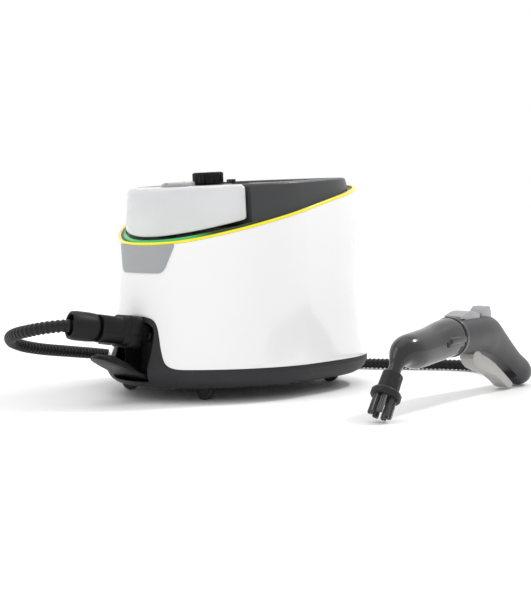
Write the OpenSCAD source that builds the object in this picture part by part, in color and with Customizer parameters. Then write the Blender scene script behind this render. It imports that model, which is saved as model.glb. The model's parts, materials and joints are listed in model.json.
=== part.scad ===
// Household steam cleaner: rolling boiler unit, plug-in corrugated steam hose,
// steam gun with a bent nozzle and a small round brush.
// All sizes in millimetres. +Z up, floor at z = 0.

/* [Body] */
// Width of the body at the base
base_w = 281; // [278:1:284]
// Length of the body at the base, front to rear
base_l = 350; // [347:1:353]
// Height of the seam between base and shell
seam_z = 39.8; // [39:0.2:41]
// How far the shell leans in at the rim, on each side
rim_in_x = 5.3; // [4:0.1:7]
// How far the shell leans in at the rim, at front and rear
rim_in_y = 24.5; // [22:0.5:26]
// Wall of the outer shell
shell_t = 2.6; // [2:0.1:3]
// Height of the coloured rim trim
trim_h = 3.4; // [2.8:0.1:4]

/* [Castors] */
// Distance between the front castor pins; the rear pair stands 20 wider
track = 132; // [128:1:134]
// Castor wheel diameter
wheel_d = 20; // [19:0.5:20]
// Castor trail, pin to wheel centre
trail = 8; // [7:0.5:8]

/* [Controls] */
// Diameter of the control knob over its ribs
knob_d = 39; // [34:1:40]
// Number of ribs on the knob
knob_ribs = 36; // [24:1:40]

/* [Hose] */
// Outer diameter of the corrugated hose
hose_d = 15; // [14:0.5:15.5]
// Radius of the stored coil, to the middle of the hose
coil_r = 84; // [82:1:86]

/* [Gun] */
// Radius of the gun barrel
barrel_r = 22.7; // [22:0.1:23]
// Wall of the gun shells
gun_t = 2.4; // [2:0.1:2.8]
// Heading of the gun, from brush to handle
gun_yaw = 95.87; // [93:0.01:98]

/* [Hidden] */
// where the machine's centre stands in the set's frame
mach = [-92, -39.4, 0];
// where the brush stands, in the machine's frame
gun_at = [309, -95, 0];
nf = 1.791;      // superellipse power, front half
nr = 3.506;      // superellipse power, rear half
base_z = 16.8;   // underside of the base
$fn = 48;

// ---------- plan, rim and top surfaces ----------
function sg(v) = v < 0 ? -1 : 1;
function fr(z) = let(h = max(z - seam_z, 0)) 0.78*(1 - exp(-h/45)) + 0.22*min(h/210, 1.1);
function pA(z) = base_w/2 - rim_in_x*fr(z);
function pB(z) = base_l/2 - rim_in_y*fr(z);
function pt(t, z, o) = let(s = sin(t), c = cos(t), n = c > 0 ? nf : nr, A = pA(z)-o, B = pB(z)-o)
  [A*sg(s)*pow(abs(s), 2/n), -B*sg(c)*pow(abs(c), 2/n), z];
function ysf(x, z, o) = let(A = pA(z)-o, B = pB(z)-o) -B*pow(max(0, 1 - pow(abs(x)/A, nf)), 1/nf);
function xsf(y, z, o) = let(A = pA(z)-o, B = pB(z)-o, n = y < 0 ? nf : nr) A*pow(max(0, 1 - pow(abs(y)/B, n)), 1/n);
// height of the rim, and of the sloping top, at a distance y from the middle
function rim_z(y) = let(u = y + 150, w = (u - 4 + sqrt((u-4)*(u-4) + 144))/2) 185 + 0.3412*w - 0.000271*w*w;
function top_z(y) = 261 + 0.073*y;
// seam between base and shell: it climbs into an arch at the front
arch = [[0,99.5],[14,99],[22,97.5],[27,95],[30.5,91],[33,86],[35,80],[37,73],[39,66],[41.3,59.6],
        [44,53],[47,47.5],[50,44.5],[54,42],[60,40.3],[66,39.8]];
function seam(t) = let(p = pt(t, 60, 0)) (p[1] < 0 && abs(p[0]) < 66) ? seam_z - 39.8 + lookup(abs(p[0]), arch) : seam_z;
// stations round the plan, close together where the arch climbs
xs = [0,7,14,18,22,24.5,27,29,30.5,31.8,33,34,35,36,37,38,39,40.2,41.3,42.6,44,45.5,47,50,54,60,66,76,88,100,112,122,130,136];
front_t = [for (x = xs) asin(pow(x/140.2, nf/2))];
rear_t = [90,95,100,106,112,119,127,136,146,158,169];
half_t = concat(front_t, rear_t);
ts = concat(half_t, [180], [for (i = [len(half_t)-1:-1:1]) 360 - half_t[i]]);
// y of the rim where station t meets it
function yt(t) = pt(t, 220, 0)[1];

// ---------- lofts ----------
module skin(rings) {
  n = len(rings[0]); m = len(rings);
  polyhedron(points = [for (r = rings) each r], faces = concat([[for (j = [0:n-1]) j]],
    [for (i = [0:m-2]) for (j = [0:n-1]) let(k = (j+1)%n) each [[i*n+j,(i+1)*n+j,(i+1)*n+k],[i*n+j,(i+1)*n+k,i*n+k]]],
    [[for (j = [n-1:-1:0]) (m-1)*n+j]]));
}
module torus(rings) {
  n = len(rings[0]); m = len(rings);
  polyhedron(points = [for (r = rings) each r], faces =
    [for (i = [0:m-1]) for (j = [0:n-1]) let(k = (j+1)%n, q = (i+1)%m) each [[i*n+j,q*n+j,q*n+k],[i*n+j,q*n+k,i*n+k]]]);
}
// one mesh of everything inside
module one() { resize([0,0,0]) children(); }
module machine() { translate(mach) children(); }
module gun() { translate(mach + gun_at) rotate([0,0,gun_yaw]) children(); }
module along(p, q, r1, r2) { // cylinder from p to q
  d = q - p; L = norm(d);
  translate(p) rotate([0, acos(d[2]/L), atan2(d[1], d[0])]) cylinder(h = L, r1 = r1, r2 = r2 == undef ? r1 : r2);
}
module pipe(p, r) { // straight runs, each ending r past its corner
  for (i = [0:len(p)-2]) let(d = (p[i+1]-p[i])/norm(p[i+1]-p[i]))
    along(p[i] - (i > 0 ? r*0.9*d : [0,0,0]), p[i+1] + (i < len(p)-2 ? r*0.9*d : [0,0,0]), r);
}

// ---------- base and shell ----------
castors = [["fl",-1,-1],["fr",1,-1],["rl",-1,1],["rr",1,1]];
function pin_at(sx, sy) = [sx*(track/2 + (sy > 0 ? 10 : 0)), sy > 0 ? 128 : -98, 0];
function lerp(a, b, f) = a + (b-a)*f;
module base_tray() color([0.13,0.13,0.14]) machine() one() difference() {
  union() { skin(concat(
    [for (q = [[16.8,14.5],[19.2,9.5],[23,5],[28,2],[33,0.6]]) [for (t = ts) pt(t, q[0], q[1])]],
    [for (f = [0.2,0.6,1]) [for (t = ts) pt(t, lerp(33, seam(t)-0.15, f), 0)]],
    [for (f = [1,0.5,0.2]) [for (t = ts) pt(t, lerp(33, seam(t)-0.15, f), 3)]],
    [for (q = [[28,5],[20.2,12]]) [for (t = ts) pt(t, q[0], q[1])]]));
    for (c = castors) translate(pin_at(c[1], c[2])) translate([0,0,17.4]) cylinder(h = 9.1, r = 21.5);
  }
  translate([0,-140,0]) rotate([90,0,0]) linear_extrude(50) polygon([[-30,24],[30,24],[30,70],[29,82],[25,88.5],[18,92],[-18,92],[-25,88.5],[-29,82],[-30,70]]);
  for (c = castors) translate(pin_at(c[1], c[2])) { cylinder(h = 23.5, r = 20); cylinder(h = 40, r = 8); }
  translate([60,150,29]) rotate([-90,0,0]) cylinder(h = 40, r = 7.5);
  for (p = screw_at) translate([p[0],p[1],10]) { cylinder(h = 8.6, r = 4.1); cylinder(h = 20, r = 2); }
}
screw_at = [[0,-135],[105,-60],[-105,-60],[105,75],[-105,75],[0,150]];
module base_screws() color([0.7,0.7,0.72]) machine() for (p = screw_at) translate([p[0],p[1],17]) {
  difference() { cylinder(h = 1.5, r = 3.8); translate([0,0,-0.1]) cylinder(h = 1, r = 1.8, $fn = 6); }
  translate([0,0,1.5]) cylinder(h = 11, r = 1.9);
}
module castor_sockets() color([0.25,0.25,0.27]) machine() for (c = castors) translate(pin_at(c[1], c[2])) translate([0,0,23.7])
  difference() { union() { cylinder(h = 15, r = 7.9); translate([0,0,2.9]) cylinder(h = 2, r = 10.5); } translate([0,0,-1]) cylinder(h = 30, r = 3.05); }
module fork(sx, sy) color([0.12,0.12,0.13]) machine() translate(pin_at(sx, sy)) rotate([0,0,200]) difference() {
  union() {
    translate([0,0,21]) cylinder(h = 16.5, r = 3);
    translate([0,0,20.6]) cylinder(h = 2.6, r = 10);
    translate([0,-8.2,20.6]) cube([15,16.4,2.6]);
    for (s = [-1,1]) translate([1, s > 0 ? 6.4 : -8.2, 9]) cube([14,1.8,11.7]);
    for (s = [-1,1]) translate([trail, s > 0 ? 6.4 : -8.2, wheel_d/2]) rotate([-90,0,0]) cylinder(h = 1.8, r = 5);
  }
  translate([trail,-20,wheel_d/2]) rotate([-90,0,0]) cylinder(h = 40, r = 1.55);
}
module wheel(sx, sy) color([0.06,0.06,0.06]) machine() translate(pin_at(sx, sy)) rotate([0,0,200]) translate([trail,0,wheel_d/2]) rotate([90,0,0]) {
  rotate_extrude() polygon([[0,-5.8],[wheel_d/2-1.5,-5.8],[wheel_d/2,-4.3],[wheel_d/2,4.3],[wheel_d/2-1.5,5.8],[0,5.8]]);
  translate([0,0,-8]) cylinder(h = 16, r = 1.5);
}
module outer_shell() color([0.95,0.95,0.95]) machine() torus(concat(
  [for (f = [0,0.05,0.12,0.22,0.36,0.6,1]) [for (t = ts) pt(t, lerp(seam(t), rim_z(yt(t))-trim_h, f), 0)]],
  [for (f = [1,0.5,0.2,0]) [for (t = ts) pt(t, lerp(seam(t), rim_z(yt(t))-trim_h, f), shell_t)]]));
module rim_trim() color([0.95,0.86,0.05]) machine() torus(
  [for (q = [[0.3,0.05],[-0.4,0.8],[-0.4,trim_h-0.8],[0.4,trim_h],[3.8,trim_h],[3.8,0.05]])
   [for (t = ts) let(z = rim_z(yt(t)) - trim_h + q[1]) pt(t, z, q[0])]]);
led_t = concat([for (i = [len(xs)-7:-1:1]) -front_t[i]], [for (i = [0:len(xs)-7]) front_t[i]]);
module led_ring() color([0.35,0.85,0.45,0.8]) machine() skin([for (t = led_t)
  [for (q = [[-0.9,6.4],[-0.9,9.8],[3.4,9.8],[3.4,6.4]]) let(p = pt(t, rim_z(yt(t)), q[1])) [p[0], p[1], rim_z(p[1]) + q[0]]]]);
deck_y = concat([for (y = [-145.2,-144.4,-143,-141,-138]) y], [for (y = [-134:6:-74]) y], [-69.9]);
module top_deck() color([0.1,0.1,0.11]) machine() one() difference() {
  skin([for (y = deck_y) let(z = rim_z(y)-1.2, w = xsf(y, z, 4.4)) [[-w,y,z-3],[-w,y,z],[w,y,z],[w,y,z-3]]]);
  translate([0,-108,150]) cylinder(h = 100, r = 12.3);
}

// ---------- rear housing ----------
house_y = -69.5;
house_t = [for (t = ts) if (t > 60 && t < 300 && pt(t,230,9)[1] > house_y + 3) t];
function cut_ring(z0, o, dy) = // outline behind the front wall; z0 = "rim" or "top" plus an offset
  let(zz = function(y) z0[0] == 0 ? rim_z(y) + z0[1] : top_z(y) + z0[1], yc = house_y + dy)
  concat([[xsf(yc, zz(yc), o), yc, zz(yc)]], [for (t = house_t) let(p = pt(t, zz(yt(t)), o)) [p[0], p[1], zz(p[1])]],
         [[-xsf(yc, zz(yc), o), yc, zz(yc)]]);
// the bay outline, on the same number of stations
function bay(zoff, g, fl) = let(n = len(house_t) + 2, yc = 54, a = 88-g, b = 62-g)
  [for (i = [0:n-1]) let(u = -50 + 280*i/(n-1), s = sin(u), c = cos(u), x = a*sg(c)*pow(abs(c),0.22), y = yc + b*sg(s)*pow(abs(s),0.22))
    [x, y, fl > 0 ? top_z(y) - fl : top_z(y) + zoff]];
bay_d = 36;
module rear_housing() color([0.2,0.2,0.21]) machine() one() difference() {
  skin([bay(0,-2.5,bay_d+2.5), bay(-3,-2.5,0), cut_ring([1,-3],14.6,2.6), cut_ring([0,-6],12.2,2.6), cut_ring([0,-6],9.4,0), cut_ring([0,-4.4],4.6,0),
        cut_ring([0,-1.3],4.6,0), cut_ring([0,-1.3],9.2,0), cut_ring([0,6],9.8,0), cut_ring([1,-1.2],11.6,0), cut_ring([1,0],12.8,1),
        bay(0,-1,0), bay(-1.2,0,0), bay(0,0,bay_d)]);
  translate([0,-36.5,200]) cylinder(h = 100, r = 9.3);
  translate([48,-46.5,200]) cube([30,20,100]);
  for (s = [-1,1]) translate([s*90,8,246]) rotate([0,90,0]) cylinder(h = 12, r = 2, center = true);
}
module carry_handle() color([0.1,0.1,0.11]) machine() difference() {
  union() {
    for (s = [-1,1]) {
      translate([s > 0 ? 78 : -84, 8, 246]) rotate([0,90,0]) cylinder(h = 6, r = 6.5);
      translate([s > 0 ? 78 : -84, 8, 240.5]) cube([6,92,11]);
    }
    translate([-84,94,246]) rotate([0,90,0]) cylinder(h = 168, r = 8);
  }
  translate([-100,8,246]) rotate([0,90,0]) cylinder(h = 200, r = 2.05);
}
module hinge_pins() color([0.75,0.75,0.77]) machine() {
  for (s = [-1,1]) translate([s*85,8,246]) rotate([0,90,0]) cylinder(h = 16, r = 2, center = true);
  translate([-30.2,-158,27]) rotate([0,90,0]) cylinder(h = 60.4, r = 1.5);
}
// ---------- badge ----------
function badge_low(x) = let(w = abs(x)) lookup(w, [[0,150.5],[28,150.5],[32,151.3],[35,153.2],[37,156.5],[46,182]]);
badge_x = [for (x = [-45.8,-43,-40,-37,-36,-35,-33.5,-32,-28,-21,-14,-7,0,7,14,21,28,32,33.5,35,36,37,40,43,45.8]) x];
module badge_plate() color([0.75,0.76,0.77]) machine() skin([for (x = badge_x) let(a = badge_low(x), b = rim_z(-150)-trim_h-0.6 + 0.00055*x*x*2)
  concat([for (f = [1,0.66,0.33,0]) let(z = lerp(a,b,f)) [x, ysf(x, z, -0.15), z]], [for (f = [0,0.33,0.66,1]) let(z = lerp(a,b,f)) [x, ysf(x, z, -1.5), z]])]);

// ---------- water tank ----------
tank_y = -70.4;
function tank_zb(y) = 193 + 0.32*(y + 141);
tank_t = concat([for (i = [len(front_t)-1:-1:1]) if (pt(front_t[i],230,9)[1] < tank_y - 2.5) -front_t[i]], [for (t = front_t) if (pt(t,230,9)[1] < tank_y - 2.5) t]);
function tank_ring(kind, dz, o, dy) = let(zz = function(y) kind == 0 ? tank_zb(y) + dz : top_z(y) + dz, yc = tank_y - dy, r = 4)
  concat([let(y = yc, x = -xsf(y, zz(y), o) + r) [x, y, zz(y)], let(y = yc - r*0.3, x = -xsf(y, zz(y), o) + r*0.3) [x, y, zz(y)]],
         [for (t = tank_t) let(p = pt(t, zz(pt(t,230,o)[1]), o)) [p[0], p[1], zz(p[1])]],
         [let(y = yc - r*0.3, x = xsf(y, zz(y), o) - r*0.3) [x, y, zz(y)], let(y = yc, x = xsf(y, zz(y), o) - r) [x, y, zz(y)]]);
cap_y = -92;
module water_tank() color([0.82,0.84,0.87,0.6]) machine() one() difference() {
  skin([tank_ring(0,0,10.5,1), tank_ring(0,1.5,9.2,0), tank_ring(1,-6,10.6,0), tank_ring(1,-1.6,12,0.4), tank_ring(1,0,14.5,1.8)]);
  skin([tank_ring(0,2.4,12,2.6), tank_ring(1,-6,13.2,2.6), tank_ring(1,-2.4,15.5,3.4)]);
  translate([0,cap_y,240]) cylinder(h = 30, r = 13.2);
  translate([0,-108,180]) cylinder(h = 36, r = 9.2);
}
module tank_valve() color([0.1,0.1,0.11]) machine() translate([0,-108,0]) difference() {
  translate([0,0,190]) cylinder(h = 24, r = 9);
  translate([0,0,188]) cylinder(h = 16, r = 4.5); translate([0,0,203]) cylinder(h = 12, r = 2.2);
}
module tank_coupling() color([0.3,0.3,0.32]) machine() translate([0,-108,0]) difference() {
  union() { translate([0,0,176]) cylinder(h = 22, r = 12); translate([0,0,179.5]) cylinder(h = 6.5, r = 15); translate([0,0,166]) cylinder(h = 11, r = 4); }
  translate([0,0,189.5]) cylinder(h = 20, r = 9.4); translate([0,0,179]) cylinder(h = 12, r = 6); translate([0,0,160]) cylinder(h = 30, r = 2.2);
}
module tilt(y) { translate([0,y,top_z(y)]) rotate([atan(0.073),0,0]) children(); }
module filler_cap() color([0.62,0.64,0.66]) machine() tilt(cap_y) difference() {
  union() {
    rotate_extrude($fn = 64) polygon([[0,-3],[12.6,-3],[12.6,0.4],[18.3,0.4],[18.6,1.6],[18,3.8],[15.5,5],[0,5.4]]);
    translate([-5.5,10,1.2]) cube([11,11,3.2]);
    translate([-8.4,20.2,2.8]) rotate([0,90,0]) cylinder(h = 16.8, r = 1.5);
    translate([-5.5,20.2,2.8]) rotate([0,90,0]) cylinder(h = 11, r = 2.2);
  }
  translate([0,-16.8,3.2]) cylinder(h = 4, r = 3);
}
module cap_bracket() color([0.86,0.88,0.9]) machine() tilt(cap_y) difference() {
  for (s = [-1,1]) { translate([s > 0 ? 6 : -9, 18.2, 0.05]) cube([3,4.2,2.8]); translate([s > 0 ? 6 : -9, 20.2, 2.8]) rotate([0,90,0]) cylinder(h = 3, r = 2.7); }
  translate([-12,20.2,2.8]) rotate([0,90,0]) cylinder(h = 24, r = 1.55);
}

// ---------- control knob and switch ----------
module control_knob() color([0.07,0.07,0.07]) machine() tilt(-36.5) translate([0,0,2]) {
  linear_extrude(12.6) polygon([for (i = [0:knob_ribs*4-1]) let(a = i*90/knob_ribs, r = knob_d/2 - ((i%4 < 2) ? 0 : 1)) [r*cos(a), r*sin(a)]]);
  translate([0,0,12.6]) cylinder(h = 1, r1 = knob_d/2-1, r2 = knob_d/2-2);
  translate([0,0,-26]) cylinder(h = 27, r = 4);
}
module knob_plate() color([0.05,0.05,0.05]) machine() tilt(-36.5) difference() {
  union() {
    translate([0,0,-18]) cylinder(h = 18, r = 8.6);
    translate([0,0,-5.2]) cylinder(h = 2, r = 14);
    translate([0,0,0.05]) cylinder(h = 1.75, r = 17);
    translate([-5,10,0.05]) cube([10,36,1.75]); translate([-5,39,0.05]) cube([10,7,5]);
    translate([0,0,-1]) cylinder(h = 2, r = 8.6);
  }
  translate([0,0,-20]) cylinder(h = 30, r = 4.05);
}
module power_switch() color([0.05,0.05,0.05]) machine() translate([63,-36.5,top_z(-36.5)-1.4]) rotate([90,0,90]) {
  translate([0,0,-14]) linear_extrude(28) polygon([[-9.2,-6],[9.2,-6],[9.2,0.4],[0,-0.6],[-9.2,1.6]]);
  translate([0,-3,-14.6]) cylinder(h = 29.2, r = 1.5);
}
module mains_gland() color([0.08,0.08,0.08]) machine() translate([60,0,29]) rotate([-90,0,0]) difference() {
  union() { translate([0,0,160]) cylinder(h = 13, r = 7.4); translate([0,0,172]) cylinder(h = 3.2, r = 9.8); }
  translate([0,0,150]) cylinder(h = 40, r = 3.6);
}

// ---------- boiler and fittings ----------
boil = [0, 50, 0];
module boiler_lower() color([0.78,0.79,0.8]) machine() translate(boil) {
  rotate_extrude($fn = 72) polygon([[0,36],[44,36],[50,42],[50,88],[60,88],[60,90],[48,90],[48,43],[43,38],[0,38]]);
  for (a = [30,150,270]) rotate([0,0,a]) translate([55,0,20.3]) cylinder(h = 68.5, r = 4);
}
module boiler_upper() color([0.78,0.79,0.8]) machine() translate(boil)
  rotate_extrude($fn = 72) polygon([[48,90.4],[60,90.4],[60,92.4],[50,92.4],[50,134],[44,140],[0,140],[0,138],[43,138],[48,133]]);
module heating_element() color([0.5,0.5,0.52]) machine() translate(boil) {
  rotate_extrude() translate([32,31.6]) circle(4);
  for (x = [-9,9]) translate([x,-34,27.7]) rotate([90,0,0]) cylinder(h = 16, r = 2.4);
}
module insulation() color([0.85,0.82,0.7]) machine() translate(boil) rotate_extrude($fn = 72) polygon([[61.5,24],[68,24],[68,146],[61.5,146]]);
module thermostats() color([0.2,0.2,0.22]) machine() for (p = [[-24,38],[-24,66]]) translate([p[0],p[1],140.2]) {
  cylinder(h = 6, r = 10); translate([0,0,6]) cylinder(h = 5, r = 8);
  for (x = [-4,4]) translate([x-0.4,-3,11]) cube([0.8,6,7]);
}
module safety_valve() color([0.8,0.65,0.3]) machine() translate([24,56,140.2]) { cylinder(h = 6, r = 9, $fn = 6); cylinder(h = 22, r = 6); translate([0,0,22]) cylinder(h = 4, r = 4); }
module water_pump() color([0.85,0.85,0.83]) machine() {
  translate([-112,-58,22]) cube([38,34,40]);
  translate([-93,-24,42]) rotate([-90,0,0]) cylinder(h = 34, r = 15);
  translate([-93,10,42]) rotate([-90,0,0]) cylinder(h = 14, r = 4);
  translate([-93,-58,42]) rotate([90,0,0]) cylinder(h = 12, r = 4);
  translate([-97,-14,20.4]) cube([8,16,8]);
}
module solenoid_valve() color([0.2,0.35,0.2]) machine() {
  translate([-13,-92,140]) cube([26,30,24]);
  translate([0,-77,164]) cylinder(h = 28, r = 13);
  translate([0,-92,152]) rotate([90,0,0]) cylinder(h = 10, r = 5);
}
module steam_pipe() color([0.75,0.72,0.65]) machine() {
  pipe([[0,20,140.2],[0,20,152],[0,-61.8,152]], 4);
  pipe([[0,-102.2,152],[0,-109,152],[0,-109,73.2],[0,-116.4,73.2]], 4);
}
module water_tubes() color([0.9,0.9,0.88]) machine() one() {
  $fn = 20;
  pipe([[0,-108,165.8],[0,-108,160.5],[-60,-108,160.5],[-93,-82,160.5],[-93,-82,42],[-93,-70.3,42]], 3);
  pipe([[-93,24.3,42],[-93,40,42],[-93,40,156],[-34,52,156],[-2,52,156],[-2,52,140.3]], 3);
}
module control_board() color([0.1,0.4,0.2]) machine() {
  translate([92,-50,58]) cube([1.6,90,84]);
  translate([78,-40,66]) cube([13.8,22,18]); translate([74,-10,66]) cube([17.8,28,24]);
  translate([84,-30,110]) cube([7.8,16,10]); translate([91.8,12,120]) rotate([0,-90,0]) cylinder(h = 18, r = 6);
  translate([90,-46,44]) cube([5.6,6,13.9]); translate([90,30,44]) cube([5.6,6,13.9]); translate([88,-46,20.4]) cube([9.6,82,23.6]);
}

// ---------- hose socket, cover and plug ----------
module socket_housing() color([0.09,0.09,0.1]) machine() difference() {
  union() {
    difference() { translate([-30.4,-150,24.6]) cube([60.8,28,66.8]); translate([-27.6,-151,27.4]) cube([55.2,26.4,61.2]); }
    for (s = [-1,1]) translate([s > 0 ? 27.4 : -30.4, -158, 27]) { rotate([0,90,0]) cylinder(h = 3, r = 2.4); translate([0,0,-2.4]) cube([3,9,4.8]); }
  }
  translate([0,-130,74.6]) rotate([-90,0,0]) cylinder(h = 20, r = 10.6);
  translate([-40,-158,27]) rotate([0,90,0]) cylinder(h = 80, r = 1.5);
  for (x = [-19,19]) translate([x,-130,76]) rotate([-90,0,0]) cylinder(h = 20, r = 3);
}
module steam_socket() color([0.75,0.62,0.35]) plug_frame() rotate([-90,0,0]) difference() {
  union() { translate([0,0,-9]) cylinder(h = 25, r = 9); translate([0,0,15.6]) cylinder(h = 2.4, r = 13); }
  translate([0,0,-20]) cylinder(h = 25, r = 5.02); cylinder(h = 30, r = 2.5);
}
cover_a = 26;
module socket_cover() color([0.1,0.1,0.11]) machine() translate([0,-158,27]) rotate([-cover_a,0,0]) difference() {
  union() {
    translate([-27,0,0]) rotate([0,90,0]) cylinder(h = 54, r = 2.6);
    translate([0,0,-2.6]) linear_extrude(3.4) polygon(concat([[-26.8,0],[26.8,0],[25,-40]], [for (a = [0:10:180]) [23*cos(a), -46 - 23*sin(a)*0.95]], [[-25,-40]]));
    translate([-15,-58,0.8]) cube([30,40,5.4]);
  }
  translate([-40,0,0]) rotate([0,90,0]) cylinder(h = 80, r = 1.56);
}
module plug_frame() machine() translate([0,-135,76]) rotate([-9,0,0]) children();
module slab(w, h, y0, y1, r) translate([0,y0,0]) rotate([90,0,0]) linear_extrude(y0-y1) polygon([for (q = [0:3]) for (a = [0:15:90])
  let(cx = (q == 0 || q == 3) ? w/2-r : r-w/2, cz = q < 2 ? h/2-r : r-h/2) [cx + r*cos(a + 90*q), cz + r*sin(a + 90*q)]]);
module plug_body() color([0.09,0.09,0.1]) difference() {
  plug_frame() union() {
    slab(34, 23, -18.5, -30.1, 5); slab(38, 38, -30, -46, 7); slab(33, 35, -46, -52, 9); slab(30, 32, -52, -86, 11);
    translate([0,-14,0]) rotate([90,0,0]) cylinder(h = 5, r = 9.8);
    translate([0,-14.5,0]) rotate([-90,0,0]) cylinder(h = 11, r = 4.95);
  }
  plug_frame() translate([-7,-80,-20]) cube([14,22,8.6]);
}
module plug_release() color([0.2,0.2,0.21]) plug_frame() { translate([-6.6,-79.4,-16.4]) cube([13.2,20.8,3.4]); translate([-5,-76,-18]) cube([10,12,1.6]); }
module collar_frame() plug_frame() translate([0,-86.2,0]) rotate([0,0,-18]) rotate([90,0,0]) children();
module plug_collar() color([0.08,0.08,0.09]) difference() {
  collar_frame() rotate_extrude($fn = 60) polygon([[0,0],[14.2,0],[16.2,3],[16.8,10],[16.8,26],[16,31],[14.4,32],[12.6,31],[11.8,26],[11.8,11],[0,11]]);
  plug_frame() translate([-40,-86.1,-40]) cube([80,40,80]);
}

// ---------- hose ----------
// smooth curve through the points
function cr(a,b,c,d,u) = 0.5*((2*b) + (c-a)*u + (2*a-5*b+4*c-d)*u*u + (3*b-a-3*c+d)*u*u*u);
function curve(p, k) = let(n = len(p)) concat([for (i = [0:n-2]) for (j = [0:k-1])
  cr(i > 0 ? p[i-1] : 2*p[0]-p[1], p[i], p[i+1], i < n-2 ? p[i+2] : 2*p[n-1]-p[n-2], j/k)], [p[n-1]]);
function unit(v) = v/norm(v);
function tube_rings(c, r, s) = [for (i = [0:len(c)-1]) let(d = unit(c[min(i+1,len(c)-1)] - c[max(i-1,0)]), x = unit(cross([0,0,1], d)), y = cross(d, x))
  [for (j = [0:s-1]) c[i] + r*(x*cos(360*j/s) + y*sin(360*j/s))]];
module hose_tube_a() color([0.07,0.07,0.07]) machine() skin(tube_rings(curve(hose_a, 1), hose_d/2, 10));
module hose_tube_b() color([0.07,0.07,0.07]) machine() skin(tube_rings(curve(hose_b, 1), hose_d/2, 10));
module hose_coil() color([0.07,0.07,0.07]) machine() translate(coil_at) rotate_extrude($fn = 72)
  polygon([for (q = [[-7.4,2],[-5,0],[5,0],[7.4,2],[7.4,40],[5,42.6],[-5,42.6],[-7.4,40]]) [coil_r + q[0], q[1]]]);

// ---------- steam gun ----------
function ring_xz(s, z, a, hh, hw, k) = // section square to a direction a degrees up from +X
  [for (j = [0:k-1]) let(u = 360*j/k) [s - hh*sin(u)*sin(a), hw*cos(u), z + hh*sin(u)*cos(a)]];
gun_path = [[166.4,77,0,22.7,22.7],[205,77,0,22.7,22.7],[228,76,-5,23.5,22],[246,73,-12,25,21],[262,68.5,-22,25.5,19.5],[282,58.5,-28,22.5,18],
  [305,46,-29,19.5,17],[330,31,-28,18,17.2],[352,19.2,-24,18.6,18.2],[366,14.9,-18,14.5,14.5],[374,13.6,-16,7,7]];
function gun_rings(t, d0, d1) = [for (q = gun_path) ring_xz(q[0] + (q[0] < 170 ? d0 : (q[0] > 370 ? -d1 : 0)), q[1], q[2], q[3]*barrel_r/22.7 - t, q[4]*barrel_r/22.7 - t, 32)];
trig = [[206,53.5],[205,48],[209,42],[218,36],[238,29.5],[266,22.5],[284,14],[302,4.4],[309,2.2],[316,2.6],[319.5,7],[300,18.5],[268,36.5],[246,46],[228,52],[220,57.5],[212,57.5]];
boot_dir = [cos(44), sin(44), -0.15];
boot_gun = [356,0,19];
function rotz(p, a) = [p[0]*cos(a) - p[1]*sin(a), p[0]*sin(a) + p[1]*cos(a), p[2]];
boot_end = gun_at + rotz(boot_gun + 52.9*boot_dir, gun_yaw);
coil_at = [-236,186,0];
hose_a = [[-3.5,-230.8,91.2],[-8.6,-246.5,93.2],[-17,-258,93],[-33,-270,90.5],[-52,-277,86.5],[-73,-277,82],[-93,-270,76.5],[-109,-257,70],
  [-118,-243,65],[-123,-226,60],[-128,-196,54],[-134,-156,48],[-140,-115,42],[-146,-70,35],[-150,-25,27],[-153,20,19],[-154,62,13],[-154,104,9],[-153,145,7.7],[-152,176,7.6]];
hose_b = [[-178,124,34.5],[-153,141,31],[-118,165,24.5],[-82,190,16.5],[-46,214,10.5],[-10,239,8],[26,264,7.6],[58,286,7.6],[90,308,7.6],
  [120,329,7.6],[139,337.5,7.6],[159,339.5,7.6],[178,335,8],[195,325,9],[214,309,10.2],boot_end];
pivot = [214,0,61];
module gun_hollow(side) gun() one() intersection() {
  difference() {
    skin(gun_rings(0, 0, 0));
    skin(gun_rings(gun_t, 2, 4));
    translate([150,0,77]) rotate([0,90,0]) cylinder(h = 20, r = 16.4);
    // room for the trigger, with its travel
    translate([0,10.4,0]) rotate([90,0,0]) linear_extrude(20.8) polygon([[203.6,30],[203.6,59],[222,59],[250,53],[282,40],[328,18],[328,-5],[300,-5]]);
    // openings for the button and the selector
    translate([166.8,-11.6,92]) cube([54,23.2,20]);
    translate([225,-8.8,88]) cube([36,17.6,20]);
    translate(boot_gun) rotate([0, 90 + asin(0.15), 44]) translate([0,0,-2]) cylinder(h = 40, r = 12.4);
  }
  translate([100, side > 0 ? 0.05 : -60.05, -20]) cube([300,60,140]);
}
module gun_shell_left() color([0.27,0.27,0.28]) gun_hollow(1);
module gun_shell_right() color([0.27,0.27,0.28]) gun_hollow(-1);
module gun_collar() color([0.06,0.06,0.06]) gun() translate([158,0,77]) rotate([0,90,0])
  rotate_extrude($fn = 64) polygon([[15.3,0],[22.6,0],[23.6,1.5],[23.6,7],[22.6,8.2],[16.2,8.2],[16.2,20],[15.3,20]]);
module gun_trigger() color([0.66,0.64,0.62]) gun() difference() {
  union() { translate([0,9,0]) rotate([90,0,0]) linear_extrude(18) polygon(trig); translate([pivot[0],9,pivot[2]]) rotate([90,0,0]) cylinder(h = 18, r = 5.6); }
  translate([pivot[0],20,pivot[2]]) rotate([90,0,0]) cylinder(h = 40, r = 2.05);
}
module trigger_pin() color([0.75,0.75,0.77]) gun() translate([pivot[0],14.6,pivot[2]]) rotate([90,0,0]) cylinder(h = 29.2, r = 2);
module unlock_button() color([0.55,0.55,0.56]) gun() translate([0,11,0]) rotate([90,0,0]) linear_extrude(22)
  polygon(concat([[219,94.5],[219,101]], [for (i = [1:11]) let(x = 219 - 51*i/12) [x, 101 + 4.8*sin(15*i)]], [[168,101],[168,97.2],[179.5,97.2],[179.5,94.5]]));
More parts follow.
